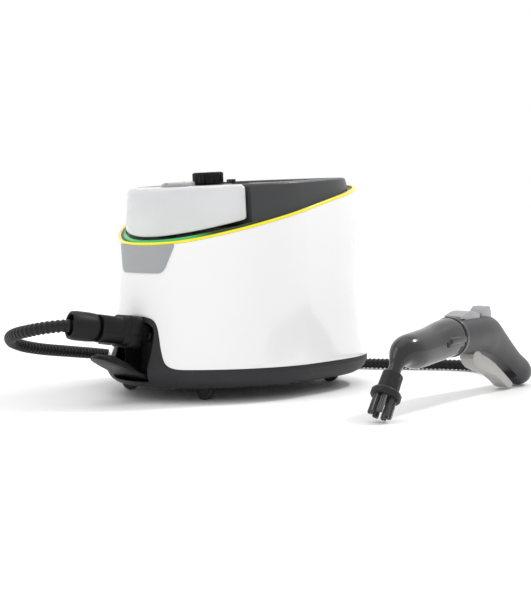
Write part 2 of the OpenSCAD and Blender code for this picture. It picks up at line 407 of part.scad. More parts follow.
module flow_selector() color([0.55,0.55,0.56]) gun() {
  translate([0,8.4,0]) rotate([90,0,0]) linear_extrude(16.8) polygon([[229,94],[257,94],[257,99],[255,104.5],[252,108.6],[238,108.6],[233,105.5],[229,101]]);
}
module gun_valve() color([0.75,0.65,0.4]) gun() {
  translate([180,0,79]) rotate([0,90,0]) cylinder(h = 40, r = 7);
  translate([177,0,79]) rotate([0,90,0]) cylinder(h = 4, r = 4);
  translate([196,-6,69]) cube([16,12,6]);
  along([219.5,0,77],[338,0,27],3.2);
}
module hose_boot() color([0.06,0.06,0.06]) gun() translate(boot_gun) rotate([0, 90 + asin(0.15), 44]) {
  cylinder(h = 22, r = 12); translate([0,0,22]) cylinder(h = 29.9, r1 = 11, r2 = 8.8);
}
noz = [[27.7,48.3,53,7.1],[30.9,52.3,53,7.3],[33,55,52,7.4],[37,60,48,9.4],[44,65.5,38,13.4],[52.5,68.2,24,17],[62,69,14,19.3],[76,69.2,6,20.4],[107,71.6,4,20.8],[135,75,4,22],[150,76.6,2,22.4],[157.6,77,0,22.5]];
module bent_nozzle() color([0.06,0.06,0.06]) gun() one() union() {
  skin([for (q = noz) ring_xz(q[0], q[1], q[2], q[3], q[3], 28)]);
  translate([157,0,77]) rotate([0,90,0]) cylinder(h = 17, r = 15);
  translate([30.9,0,52.3]) rotate([0,-143,0]) cylinder(h = 18, r = 5);
}
brush_tip = [-2.5,0,8];
module brush_frame() gun() translate(brush_tip) rotate([0,37,0]) children();
module brush_body() color([0.1,0.1,0.11]) brush_frame() difference() {
  rotate_extrude($fn = 60) polygon([[0,20],[15.5,20],[16.6,21.5],[16.6,26.5],[15,28.6],[12,30],[11.4,49],[10.4,50],[5.3,50],[5.3,32],[2,32],[2,24],[0,24]]);
  translate([0,-16,46]) rotate([0,0,0]) cube([6,10,8], center = true);
  for (k = [0:6]) rotate([0,0,k*360/7]) translate([10.2,0,18]) cylinder(h = 7, r = 3.3);
}
module brush_bristles() color([0.2,0.2,0.2]) brush_frame() {
  for (k = [0:6]) rotate([0,0,k*360/7]) translate([10.2,0,0]) cylinder(h = 24.8, r = 3);
}

base_tray();
castor_sockets();
fork(-1,-1);  // castor_fork_fl
fork(1,-1);  // castor_fork_fr
fork(-1,1);  // castor_fork_rl
fork(1,1);  // castor_fork_rr
wheel(-1,-1);  // castor_wheel_fl
wheel(1,-1);  // castor_wheel_fr
wheel(-1,1);  // castor_wheel_rl
wheel(1,1);  // castor_wheel_rr
outer_shell();
rim_trim();
led_ring();
top_deck();
rear_housing();
carry_handle();
hinge_pins();
badge_plate();
water_tank();
tank_valve();
tank_coupling();
filler_cap();
cap_bracket();
control_knob();
knob_plate();
boiler_lower();
boiler_upper();
heating_element();
insulation();
thermostats();
safety_valve();
water_pump();
solenoid_valve();
water_tubes();
steam_pipe();
control_board();
power_switch();
mains_gland();
base_screws();
socket_housing();
steam_socket();
socket_cover();
hose_tube_a();
hose_coil();
hose_tube_b();
plug_body();
plug_collar();
plug_release();
gun_shell_left();
gun_shell_right();
gun_collar();
gun_trigger();
trigger_pin();
unlock_button();
flow_selector();
gun_valve();
hose_boot();
bent_nozzle();
brush_body();
brush_bristles();
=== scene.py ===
import bpy
import json
import math
import random
import numpy as np
from mathutils import Vector
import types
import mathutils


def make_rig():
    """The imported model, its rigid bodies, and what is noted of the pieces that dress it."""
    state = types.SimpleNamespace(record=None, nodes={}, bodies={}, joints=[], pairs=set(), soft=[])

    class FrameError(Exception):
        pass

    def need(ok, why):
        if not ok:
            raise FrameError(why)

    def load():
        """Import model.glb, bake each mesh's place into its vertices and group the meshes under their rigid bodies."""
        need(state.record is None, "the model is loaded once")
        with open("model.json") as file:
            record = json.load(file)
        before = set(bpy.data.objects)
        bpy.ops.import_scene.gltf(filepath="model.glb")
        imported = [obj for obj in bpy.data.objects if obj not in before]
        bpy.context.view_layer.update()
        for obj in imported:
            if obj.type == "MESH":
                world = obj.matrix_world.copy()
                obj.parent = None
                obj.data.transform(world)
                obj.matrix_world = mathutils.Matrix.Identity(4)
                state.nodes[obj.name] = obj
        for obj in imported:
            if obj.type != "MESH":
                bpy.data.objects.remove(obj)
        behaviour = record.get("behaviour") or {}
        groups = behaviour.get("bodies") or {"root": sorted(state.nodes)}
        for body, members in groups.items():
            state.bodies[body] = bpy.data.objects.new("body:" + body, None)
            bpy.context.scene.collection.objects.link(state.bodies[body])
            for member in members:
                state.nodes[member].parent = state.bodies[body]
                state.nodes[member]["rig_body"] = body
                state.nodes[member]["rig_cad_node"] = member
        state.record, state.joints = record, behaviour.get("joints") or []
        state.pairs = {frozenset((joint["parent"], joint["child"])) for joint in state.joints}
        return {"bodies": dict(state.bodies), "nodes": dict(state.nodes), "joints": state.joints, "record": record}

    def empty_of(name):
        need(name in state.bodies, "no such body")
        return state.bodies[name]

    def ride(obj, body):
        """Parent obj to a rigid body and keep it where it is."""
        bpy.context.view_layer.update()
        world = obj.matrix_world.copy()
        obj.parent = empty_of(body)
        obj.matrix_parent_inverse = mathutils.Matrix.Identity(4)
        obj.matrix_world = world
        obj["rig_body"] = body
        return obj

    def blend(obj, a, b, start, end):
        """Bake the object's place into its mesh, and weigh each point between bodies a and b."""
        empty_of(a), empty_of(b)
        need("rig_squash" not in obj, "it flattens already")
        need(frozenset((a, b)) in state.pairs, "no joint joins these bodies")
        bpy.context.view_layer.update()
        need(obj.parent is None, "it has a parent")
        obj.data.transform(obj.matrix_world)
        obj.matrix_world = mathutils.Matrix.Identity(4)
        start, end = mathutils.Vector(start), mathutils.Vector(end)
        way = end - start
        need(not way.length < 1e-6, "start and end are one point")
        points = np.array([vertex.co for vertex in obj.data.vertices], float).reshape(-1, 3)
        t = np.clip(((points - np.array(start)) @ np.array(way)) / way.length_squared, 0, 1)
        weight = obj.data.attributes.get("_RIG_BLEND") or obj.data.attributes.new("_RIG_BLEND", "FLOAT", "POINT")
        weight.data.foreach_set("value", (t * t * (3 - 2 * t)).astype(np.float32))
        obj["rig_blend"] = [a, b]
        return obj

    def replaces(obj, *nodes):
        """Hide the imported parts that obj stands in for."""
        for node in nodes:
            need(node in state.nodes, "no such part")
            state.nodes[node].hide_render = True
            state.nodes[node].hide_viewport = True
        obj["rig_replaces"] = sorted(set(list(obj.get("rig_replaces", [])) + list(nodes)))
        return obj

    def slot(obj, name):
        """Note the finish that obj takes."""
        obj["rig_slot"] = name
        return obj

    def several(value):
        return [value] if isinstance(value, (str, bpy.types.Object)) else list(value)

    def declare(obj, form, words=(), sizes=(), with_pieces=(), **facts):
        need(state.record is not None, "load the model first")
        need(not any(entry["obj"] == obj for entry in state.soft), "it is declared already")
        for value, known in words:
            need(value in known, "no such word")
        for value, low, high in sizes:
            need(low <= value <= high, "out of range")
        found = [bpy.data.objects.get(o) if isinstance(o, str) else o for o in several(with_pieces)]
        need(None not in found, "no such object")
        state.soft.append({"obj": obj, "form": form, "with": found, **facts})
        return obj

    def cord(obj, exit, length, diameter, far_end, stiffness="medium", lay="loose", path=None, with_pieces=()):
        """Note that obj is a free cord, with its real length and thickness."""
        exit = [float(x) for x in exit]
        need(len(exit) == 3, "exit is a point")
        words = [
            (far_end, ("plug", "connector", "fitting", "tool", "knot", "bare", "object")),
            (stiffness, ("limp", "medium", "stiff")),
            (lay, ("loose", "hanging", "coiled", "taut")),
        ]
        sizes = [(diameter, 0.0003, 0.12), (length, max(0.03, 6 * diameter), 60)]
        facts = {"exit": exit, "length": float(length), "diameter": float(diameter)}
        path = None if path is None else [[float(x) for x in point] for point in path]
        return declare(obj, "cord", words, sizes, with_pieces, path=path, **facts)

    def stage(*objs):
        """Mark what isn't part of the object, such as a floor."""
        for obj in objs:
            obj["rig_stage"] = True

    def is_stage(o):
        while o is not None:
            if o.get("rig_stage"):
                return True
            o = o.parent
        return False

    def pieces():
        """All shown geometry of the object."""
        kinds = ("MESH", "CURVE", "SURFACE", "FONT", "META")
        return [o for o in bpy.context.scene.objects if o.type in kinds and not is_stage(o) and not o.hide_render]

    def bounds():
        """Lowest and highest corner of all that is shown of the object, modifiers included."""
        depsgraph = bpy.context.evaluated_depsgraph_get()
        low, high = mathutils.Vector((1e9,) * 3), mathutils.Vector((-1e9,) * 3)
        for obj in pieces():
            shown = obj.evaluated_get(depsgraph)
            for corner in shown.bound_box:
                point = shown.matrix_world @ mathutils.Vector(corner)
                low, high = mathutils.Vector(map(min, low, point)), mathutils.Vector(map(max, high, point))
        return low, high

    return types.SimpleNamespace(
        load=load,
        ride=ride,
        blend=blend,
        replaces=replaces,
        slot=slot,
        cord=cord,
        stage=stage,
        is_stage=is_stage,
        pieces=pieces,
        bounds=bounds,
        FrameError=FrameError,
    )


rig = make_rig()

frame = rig.load()
size_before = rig.bounds()

MM = 0.001
MACH = np.array([-92.0, -39.4, 0.0])
GUN_AT = np.array([309.0, -95.0, 0.0])
YAW = math.radians(95.87)
NODES = frame["nodes"]
rng = random.Random(7)


# ------------------------------------------------------------------ materials
def mat(name, col, rough=0.5, metal=0.0, coat=0.0, coat_rough=0.05, scale=900.0, bump=0.08, depth=0.00012, rvar=0.08, cvar=0.05,
        trans=0.0, ior=1.46, sub=0.0, stretch=None, wear=0.0, emis=None, spec=0.5, sheen=0.0):
    m = bpy.data.materials.new(name)
    m.use_nodes = True
    nt = m.node_tree
    N, L = nt.nodes, nt.links
    p = [n for n in N if n.type == "BSDF_PRINCIPLED"][0]
    p.inputs["Metallic"].default_value = metal
    p.inputs["IOR"].default_value = ior
    p.inputs["Coat Weight"].default_value = coat
    p.inputs["Coat Roughness"].default_value = coat_rough
    p.inputs["Transmission Weight"].default_value = trans
    p.inputs["Specular IOR Level"].default_value = spec
    p.inputs["Sheen Weight"].default_value = sheen
    if sub:
        p.inputs["Subsurface Weight"].default_value = sub
        p.inputs["Subsurface Radius"].default_value = (0.004, 0.004, 0.004)
    tc = N.new("ShaderNodeTexCoord")
    mp = N.new("ShaderNodeMapping")
    L.new(tc.outputs["Object"], mp.inputs["Vector"])
    if stretch:
        mp.inputs["Scale"].default_value = stretch
    fine = N.new("ShaderNodeTexNoise")
    fine.inputs["Scale"].default_value = scale
    fine.inputs["Detail"].default_value = 4.0
    L.new(mp.outputs["Vector"], fine.inputs["Vector"])
    broad = N.new("ShaderNodeTexNoise")
    broad.inputs["Scale"].default_value = 14.0
    broad.inputs["Detail"].default_value = 5.0
    broad.inputs["Roughness"].default_value = 0.6
    L.new(tc.outputs["Object"], broad.inputs["Vector"])
    # colour: a little broad and a little fine variation
    mixf = N.new("ShaderNodeMix"); mixf.data_type = "RGBA"
    lo = [max(0.0, c * (1 - cvar)) for c in col[:3]] + [1]
    hi = [min(1.0, c * (1 + cvar)) for c in col[:3]] + [1]
    mixf.inputs["A"].default_value = lo
    mixf.inputs["B"].default_value = hi
    add = N.new("ShaderNodeMath"); add.operation = "MULTIPLY_ADD"
    L.new(fine.outputs["Fac"], add.inputs[0]); add.inputs[1].default_value = 0.35
    sc = N.new("ShaderNodeMath"); sc.operation = "MULTIPLY"
    L.new(broad.outputs["Fac"], sc.inputs[0]); sc.inputs[1].default_value = 0.65
    L.new(sc.outputs[0], add.inputs[2])
    L.new(add.outputs[0], mixf.inputs["Factor"])
    out = mixf.outputs["Result"]
    if wear:
        # dust gathering in a few patches
        spots = N.new("ShaderNodeTexNoise"); spots.inputs["Scale"].default_value = 160.0; spots.inputs["Detail"].default_value = 6.0
        L.new(tc.outputs["Object"], spots.inputs["Vector"])
        ramp = N.new("ShaderNodeMapRange")
        ramp.inputs["From Min"].default_value = 0.62; ramp.inputs["From Max"].default_value = 0.78
        ramp.inputs["To Min"].default_value = 0.0; ramp.inputs["To Max"].default_value = wear
        L.new(spots.outputs["Fac"], ramp.inputs["Value"])
        mixw = N.new("ShaderNodeMix"); mixw.data_type = "RGBA"
        L.new(out, mixw.inputs["A"]); mixw.inputs["B"].default_value = (0.32, 0.31, 0.3, 1)
        L.new(ramp.outputs["Result"], mixw.inputs["Factor"])
        out = mixw.outputs["Result"]
    L.new(out, p.inputs["Base Color"])
    mr = N.new("ShaderNodeMapRange")
    mr.inputs["To Min"].default_value = max(0.02, rough - rvar)
    mr.inputs["To Max"].default_value = min(1.0, rough + rvar)
    L.new(add.outputs[0], mr.inputs["Value"])
    L.new(mr.outputs["Result"], p.inputs["Roughness"])
    if bump:
        b = N.new("ShaderNodeBump")
        b.inputs["Strength"].default_value = bump
        b.inputs["Distance"].default_value = depth
        L.new(fine.outputs["Fac"], b.inputs["Height"])
        L.new(b.outputs["Normal"], p.inputs["Normal"])
    if emis:
        p.inputs["Emission Color"].default_value = emis[:3] + (1,)
        p.inputs["Emission Strength"].default_value = emis[3]
    return m


MATS = {
    "shell_white": mat("shell_white", (0.80, 0.80, 0.80), 0.16, coat=0.6, coat_rough=0.04, scale=500, bump=0.03, depth=0.00006, rvar=0.03, cvar=0.012),
    "rim_yellow": mat("rim_yellow", (0.86, 0.74, 0.0), 0.25, coat=0.5, scale=500, bump=0.03, rvar=0.04, cvar=0.03),
    "base_black": mat("base_black", (0.018, 0.018, 0.020), 0.5, spec=0.35, scale=2400, bump=0.35, depth=0.00018, rvar=0.07, cvar=0.2, wear=0.05),
    "castor_black": mat("castor_black", (0.010, 0.010, 0.011), 0.42, spec=0.3, scale=2000, bump=0.25, rvar=0.07, cvar=0.2, wear=0.05),
    "wheel_rubber": mat("wheel_rubber", (0.02, 0.02, 0.02), 0.7, scale=1500, bump=0.4, cvar=0.3, wear=0.2),
    "deck_dark": mat("deck_dark", (0.010, 0.010, 0.011), 0.3, spec=0.3, scale=1600, bump=0.08, cvar=0.2),
    "housing_grey": mat("housing_grey", (0.032, 0.033, 0.036), 0.34, scale=2200, bump=0.22, depth=0.00012, rvar=0.05, cvar=0.12),
    "pin_steel": mat("pin_steel", (0.6, 0.6, 0.62), 0.28, metal=1.0, scale=700, bump=0.06, stretch=(1, 1, 12)),
    "badge_silver": mat("badge_silver", (0.36, 0.37, 0.38), 0.34, metal=1.0, scale=1500, bump=0.12, depth=0.00008, stretch=(0.03, 0.03, 1.0), rvar=0.1, cvar=0.14),
    "tank_smoke": mat("tank_smoke", (0.88, 0.89, 0.90), 0.22, trans=0.42, ior=1.4, scale=400, bump=0.05, rvar=0.06, cvar=0.03),
    "seal_black": mat("seal_black", (0.02, 0.02, 0.02), 0.62, scale=1500, bump=0.3, cvar=0.2),
    "part_grey": mat("part_grey", (0.13, 0.13, 0.14), 0.45, scale=1800, bump=0.2, cvar=0.12),
    "cap_grey": mat("cap_grey", (0.36, 0.37, 0.38), 0.4, scale=1600, bump=0.15, cvar=0.05),
    "bracket_clear": mat("bracket_clear", (0.8, 0.82, 0.83), 0.15, trans=0.6, scale=400, bump=0.03, cvar=0.02),
    "knob_black": mat("knob_black", (0.008, 0.008, 0.009), 0.38, spec=0.25, scale=2000, bump=0.2, cvar=0.2),
    "boiler_alu": mat("boiler_alu", (0.66, 0.66, 0.68), 0.42, metal=1.0, scale=600, bump=0.4, cvar=0.08),
    "element_steel": mat("element_steel", (0.35, 0.34, 0.34), 0.4, metal=1.0, scale=700, bump=0.15, cvar=0.2),
    "wrap_fabric": mat("wrap_fabric", (0.7, 0.65, 0.5), 0.9, scale=1200, bump=0.6, depth=0.0004, cvar=0.15, sheen=0.3),
    "brass": mat("brass", (0.7, 0.52, 0.22), 0.3, metal=1.0, scale=600, bump=0.1, cvar=0.1),
    "pump_white": mat("pump_white", (0.7, 0.7, 0.67), 0.45, scale=1500, bump=0.15),
    "tube_clear": mat("tube_clear", (0.75, 0.75, 0.72), 0.3, trans=0.3, scale=600, bump=0.05),
    "board_green": mat("board_green", (0.04, 0.22, 0.1), 0.3, scale=300, bump=0.2, cvar=0.3),
    "hose_black": mat("hose_black", (0.006, 0.006, 0.007), 0.36, spec=0.28, scale=1500, bump=0.15, cvar=0.2, wear=0.04),
    "plug_black": mat("plug_black", (0.007, 0.007, 0.008), 0.42, spec=0.22, scale=2400, bump=0.3, depth=0.00016, rvar=0.06, cvar=0.2, wear=0.03),
    "gun_grey": mat("gun_grey", (0.028, 0.028, 0.031), 0.4, spec=0.35, scale=2200, bump=0.22, depth=0.00012, rvar=0.05, cvar=0.12),
    "nozzle_black": mat("nozzle_black", (0.008, 0.008, 0.009), 0.2, spec=0.35, coat=0.4, coat_rough=0.08, scale=1200, bump=0.04, rvar=0.04, cvar=0.2),
    "button_grey": mat("button_grey", (0.30, 0.30, 0.31), 0.42, scale=1800, bump=0.18, cvar=0.06),
    "trigger_grey": mat("trigger_grey", (0.36, 0.345, 0.325), 0.42, scale=1800, bump=0.18, cvar=0.05),
    "bristle_grey": mat("bristle_grey", (0.05, 0.05, 0.052), 0.5, scale=900, bump=0.2, cvar=0.5),
    "bristle_light": mat("bristle_light", (0.30, 0.30, 0.31), 0.5, scale=900, bump=0.2, cvar=0.3),
}


def led_material():
    m = mat("led_green", (0.03, 0.06, 0.035), 0.3, spec=0.3, scale=900, bump=0.05, rvar=0.04, cvar=0.1)
    nt = m.node_tree
    N, L = nt.nodes, nt.links
    p = [n for n in N if n.type == "BSDF_PRINCIPLED"][0]
    tc = N.new("ShaderNodeTexCoord")
    sep = N.new("ShaderNodeSeparateXYZ")
    L.new(tc.outputs["Object"], sep.inputs[0])
    # brightest near the nose, fading out at the sides
    d = N.new("ShaderNodeMath"); d.operation = "SUBTRACT"; L.new(sep.outputs["X"], d.inputs[0]); d.inputs[1].default_value = MACH[0] * MM
    a = N.new("ShaderNodeMath"); a.operation = "ABSOLUTE"; L.new(d.outputs[0], a.inputs[0])
    mr = N.new("ShaderNodeMapRange")
    mr.inputs["From Min"].default_value = 0.058; mr.inputs["From Max"].default_value = 0.078
    mr.inputs["To Min"].default_value = 0.75; mr.inputs["To Max"].default_value = 0.02
    L.new(a.outputs[0], mr.inputs["Value"])
    p.inputs["Emission Color"].default_value = (0.06, 0.62, 0.16, 1)
    L.new(mr.outputs["Result"], p.inputs["Emission Strength"])
    return m


MATS["led_green"] = led_material()


# ------------------------------------------------------------------ mesh tools
def make(name, verts, faces, slot, space="machine", smooth=38.0, closed_fix=True):
    v = np.array(verts, float)
    if space == "machine":
        v = (v + MACH) * MM
    elif space == "gun":
        c, s = math.cos(YAW), math.sin(YAW)
        w = v.copy()
        w[:, 0] = v[:, 0] * c - v[:, 1] * s
        w[:, 1] = v[:, 0] * s + v[:, 1] * c
        v = (w + GUN_AT + MACH) * MM
    me = bpy.data.meshes.new(name)
    me.from_pydata([tuple(p) for p in v], [], [tuple(int(i) for i in f) for f in faces])
    me.validate()
    ob = bpy.data.objects.new(name, me)
    bpy.context.scene.collection.objects.link(ob)
    if closed_fix:
        import bmesh
        bm = bmesh.new(); bm.from_mesh(me)
        bmesh.ops.remove_doubles(bm, verts=bm.verts, dist=1e-7)
        bmesh.ops.recalc_face_normals(bm, faces=bm.faces)
        bm.to_mesh(me); bm.free()
    finish_mesh(ob, slot, smooth)
    return ob


def finish_mesh(ob, slot, smooth=38.0):
    me = ob.data
    me.materials.clear()
    me.materials.append(MATS[slot])
    me.polygons.foreach_set("use_smooth", [True] * len(me.polygons))
    me.set_sharp_from_angle(angle=math.radians(smooth))
    me.update()
    if slot in SLOTS:
        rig.slot(ob, slot)


SLOTS = {m["slot"] for m in frame["record"]["materials"]}


def loft(rings, cap=True):
    """Faces over a stack of rings with the same number of points."""
    n, m = len(rings[0]), len(rings)
    verts = [p for r in rings for p in r]
    faces = []
    for i in range(m - 1):
        for j in range(n):
            k = (j + 1) % n
            faces.append((i * n + j, (i + 1) * n + j, (i + 1) * n + k, i * n + k))
    if cap:
        faces.append(tuple(range(n)))
        faces.append(tuple((m - 1) * n + j for j in range(n - 1, -1, -1)))
    return verts, faces


def torus(rings):
    n, m = len(rings[0]), len(rings)
    verts = [p for r in rings for p in r]
    faces = []
    for i in range(m):
        q = (i + 1) % m
        for j in range(n):
            k = (j + 1) % n
            faces.append((i * n + j, q * n + j, q * n + k, i * n + k))
    return verts, faces


def prism(name, poly, axis, lo, hi, space="machine"):
    """A cutter: a polygon drawn out along an axis."""
    vs = []
    for h in (lo, hi):
        for a, b in poly:
            vs.append((h, a, b) if axis == "x" else ((a, h, b) if axis == "y" else (a, b, h)))
    n = len(poly)
    fs = [tuple(range(n)), tuple(range(2 * n - 1, n - 1, -1))]
    fs += [(i, (i + 1) % n, n + (i + 1) % n, n + i) for i in range(n)]
    return make(name, vs, fs, "part_grey", space)


def circle(cx, cy, r, n=48):
    return [(cx + r * math.cos(2 * math.pi * i / n), cy + r * math.sin(2 * math.pi * i / n)) for i in range(n)]


def cut(ob, cutters, slot, smooth=38.0):
    for c in cutters:
        md = ob.modifiers.new("cut", "BOOLEAN")
        md.operation = "DIFFERENCE"; md.solver = "EXACT"; md.object = c
    bpy.context.view_layer.update()
    dg = bpy.context.evaluated_depsgraph_get()
    me = bpy.data.meshes.new_from_object(ob.evaluated_get(dg))
    ob.modifiers.clear()
    old = ob.data
    ob.data = me
    bpy.data.meshes.remove(old)
    me.name = ob.name
    for c in cutters:
        d = c.data
        bpy.data.objects.remove(c)
        bpy.data.meshes.remove(d)
    finish_mesh(ob, slot, smooth)


# ------------------------------------------------------------------ body shape
NF, NR = 1.791, 3.506
BASE_W, BASE_L, SEAM_Z = 281.0, 350.0, 39.8
RIM_X, RIM_Y, TRIM_H, SHELL_T = 5.3, 24.5, 3.4, 2.6
HOUSE_Y, TANK_Y, BAY_D = -69.5, -70.4, 36.0


def fr(z):
    h = max(z - SEAM_Z, 0.0)
    return 0.78 * (1 - math.exp(-h / 45)) + 0.22 * min(h / 210, 1.1)


def pA(z): return BASE_W / 2 - RIM_X * fr(z)
def pB(z): return BASE_L / 2 - RIM_Y * fr(z)


def spow(v, e): return math.copysign(abs(v) ** e, v)


def pt(t, z, o):
    s, c = math.sin(math.radians(t)), math.cos(math.radians(t))
    n = NF if c > 0 else NR
    A, B = pA(z) - o, pB(z) - o
    return (A * spow(s, 2 / n), -B * spow(c, 2 / n), z)


def xsf(y, z, o):
    A, B = pA(z) - o, pB(z) - o
    n = NF if y < 0 else NR
    return A * max(0.0, 1 - (abs(y) / B) ** n) ** (1 / n)


def ysf(x, z, o):
    A, B = pA(z) - o, pB(z) - o
    return -B * max(0.0, 1 - (abs(x) / A) ** NF) ** (1 / NF)


def rim_z(y):
    u = y + 150
    w = (u - 4 + math.sqrt((u - 4) ** 2 + 144)) / 2
    return 185 + 0.3412 * w - 0.000271 * w * w


def top_z(y): return 261 + 0.073 * y
def tank_zb(y): return 193 + 0.32 * (y + 141)


ARCH = [(0, 99.5), (14, 99), (22, 97.5), (27, 95), (30.5, 91), (33, 86), (35, 80), (37, 73), (39, 66), (41.3, 59.6),
        (44, 53), (47, 47.5), (50, 44.5), (54, 42), (60, 40.3), (66, 39.8)]
AX = np.array([a[0] for a in ARCH]); AZ = np.array([a[1] for a in ARCH])
# a smoother line through the arch table
_sx = np.linspace(0, 66, 265)
_sz = np.interp(_sx, AX, AZ)
for _ in range(10):
    _p = np.concatenate([[_sz[1]], _sz, [_sz[-1]]])
    _sz = (_p[:-2] + 2 * _p[1:-1] + _p[2:]) / 4


def seam(t):
    p = pt(t, 60, 0)
    return float(np.interp(abs(p[0]), _sx, _sz)) if (p[1] < 0 and abs(p[0]) < 66) else SEAM_Z


XS = list(np.arange(0, 28, 2.0)) + list(np.arange(28, 52, 0.75)) + list(np.arange(52, 70, 1.5)) + list(np.arange(70, 138.5, 2.2))
FRONT = [math.degrees(math.asin((x / 140.2) ** (NF / 2))) for x in XS]
REAR = list(np.arange(86, 180, 1.5))
REAR = [t for t in REAR if t > FRONT[-1] + 1.0]
HALF = FRONT + REAR
TS = HALF + [180.0] + [360 - t for t in reversed(HALF[1:])]


def yt(t): return pt(t, 220, 0)[1]
def lerp(a, b, f): return a + (b - a) * f


def wall(o_z):
    return [pt(t, o_z[0], o_z[1]) for t in TS]


# outer shell: rounded lips at the seam and under the rim
rings = []
for f, dz, o in [(0, 0.0, 0.9), (0, 0.25, 0.3), (0, 0.9, 0.0)] + [(f, 0, 0.0) for f in np.linspace(0.04, 0.985, 26)] + [(1, -0.5, 0.0), (1, 0, 0.5),
                 (1, 0, SHELL_T)] + [(f, 0, SHELL_T) for f in (0.8, 0.5, 0.2)] + [(0, 0, SHELL_T)]:
    rings.append([pt(t, lerp(seam(t), rim_z(yt(t)) - TRIM_H, f) + dz, o) for t in TS])
shell = make("white_shell", *torus(rings), "shell_white")
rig.ride(shell, "machine"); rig.replaces(shell, "outer_shell")

# rim trim
prof = [(0.3, 0.05), (-0.1, 0.2), (-0.38, 0.7), (-0.4, 1.3), (-0.4, TRIM_H - 1.2), (-0.25, TRIM_H - 0.5), (0.1, TRIM_H - 0.1), (0.7, TRIM_H), (3.2, TRIM_H), (3.7, TRIM_H - 0.3), (3.8, 0.05)]
rings = [[pt(t, rim_z(yt(t)) - TRIM_H + z, o) for t in TS] for o, z in prof]
rim = make("yellow_rim", *torus(rings), "rim_yellow", smooth=50)
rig.ride(rim, "machine"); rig.replaces(rim, "rim_trim")

# base tray with the arch at the nose
rings = [wall(q) for q in [(16.8, 16), (16.85, 14.5), (17.2, 13.0), (18.1, 11.2), (19.2, 9.5), (21, 7.0), (23, 5), (25.5, 3.3), (28, 2), (30.5, 1.2), (33, 0.6)]]
for f in (0.15, 0.4, 0.7, 0.93):
    rings.append([pt(t, lerp(33, seam(t) - 0.5, f), 0.0) for t in TS])
rings.append([pt(t, seam(t) - 0.5, 0.1) for t in TS])
rings.append([pt(t, seam(t) - 0.25, 0.7) for t in TS])
for f in (1, 0.5, 0.2):
    rings.append([pt(t, lerp(33, seam(t) - 0.25, f), 3) for t in TS])
for q in [(28, 5), (20.2, 12)]:
    rings.append(wall(q))
base = make("base_shell", *loft(rings), "base_black")
win = [(-30, 25.5), (-28.5, 24), (28.5, 24), (30, 25.5), (30, 70), (29, 82), (27.6, 86), (25, 88.8), (21.5, 91), (18, 92), (-18, 92), (-21.5, 91), (-25, 88.8), (-27.6, 86), (-29, 82), (-30, 70)]
cutters = [prism("c0", win, "y", -195, -140)]
PINS = {"fl": (-66, -98), "fr": (66, -98), "rl": (-76, 128), "rr": (76, 128)}
for k, (x, y) in PINS.items():
    cutters.append(prism("c" + k, circle(x, y, 20, 56), "z", 5, 19.2))
# cut the arch window at the nose and the four castor pockets out of the base
cut(base, cutters, "base_black")
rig.ride(base, "machine"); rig.replaces(base, "base_tray")

# lit strip
led_t = [-t for t in reversed(FRONT) if t < 62][:-1] + [t for t in FRONT if t < 62]
rings = []
for t in led_t:
    ring = []
    for dz, o in ((-0.9, 6.6), (-0.9, 9.8), (1.3, 9.8), (1.3, 7.0), (1.0, 6.6)):
        p = pt(t, rim_z(yt(t)), o)
        ring.append((p[0], p[1], rim_z(p[1]) + dz))
    rings.append(ring)
led = make("lit_strip", *loft(rings), "led_green")
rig.ride(led, "machine"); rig.replaces(led, "led_ring")

# top deck
ys = [-145.2, -144.9, -144.4, -143.7, -143, -142, -141] + list(np.arange(-139, -70, 2.0)) + [-69.9]
rings = []
for y in ys:
    z = rim_z(y) - 1.2; w = xsf(y, z, 4.4)
    xs = np.linspace(-w, w, 9)
    rings.append([(x, y, z - 3) for x in xs] + [(x, y, z) for x in reversed(xs)])
deck = make("deck_top", *loft(rings), "deck_dark")
cut(deck, [prism("cd", circle(0, -108, 12.3), "z", 150, 230)], "deck_dark")
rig.ride(deck, "machine"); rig.replaces(deck, "top_deck")

# rear housing
HT = [t for t in TS if 60 < t < 300 and pt(t, 230, 9)[1] > HOUSE_Y + 3]


def cut_ring(kind, off, o, dy):
    zz = (lambda y: rim_z(y) + off) if kind == 0 else (lambda y: top_z(y) + off)
    yc = HOUSE_Y + dy
    out = [(xsf(yc, zz(yc), o), yc, zz(yc))]
    for t in HT:
        p = pt(t, zz(yt(t)), o)
        out.append((p[0], p[1], zz(p[1])))
    out.append((-xsf(yc, zz(yc), o), yc, zz(yc)))
    return out


def bay(zoff, g, fl):
    n = len(HT) + 2
    out = []
    for i in range(n):
        u = math.radians(-50 + 280 * i / (n - 1))
        s, c = math.sin(u), math.cos(u)
        x = (88 - g) * spow(c, 0.22); y = 54 + (62 - g) * spow(s, 0.22)
        out.append((x, y, top_z(y) - fl if fl > 0 else top_z(y) + zoff))
    return out


rings = [bay(0, -2.5, BAY_D + 2.5), bay(-3, -2.5, 0), cut_ring(1, -3, 14.6, 2.6), cut_ring(0, -6, 12.2, 2.6), cut_ring(0, -6, 9.4, 0), cut_ring(0, -4.4, 4.6, 0),
         cut_ring(0, -1.5, 4.6, 0), cut_ring(0, -1.3, 5.0, 0), cut_ring(0, -1.3, 9.0, 0), cut_ring(0, -0.8, 9.2, 0), cut_ring(0, 6, 9.8, 0)]
rings += [cut_ring(1, z, o, dy) for z, o, dy in [(-4.2, 10.9, 0), (-3.0, 11.15, 0.05), (-2.1, 11.45, 0.15), (-1.35, 11.9, 0.3), (-0.75, 12.5, 0.6), (-0.3, 13.25, 1.0), (-0.05, 14.2, 1.5), (0, 15.2, 2.0)]]
rings += [bay(0, -2.4, 0), bay(-0.1, -1.6, 0), bay(-0.45, -0.8, 0), bay(-1.0, -0.3, 0), bay(-1.9, 0, 0), bay(0, 0, 12), bay(0, 0, BAY_D - 4), bay(0, 0.5, BAY_D - 1.6), bay(0, 2, BAY_D - 0.4), bay(0, 4, BAY_D)]
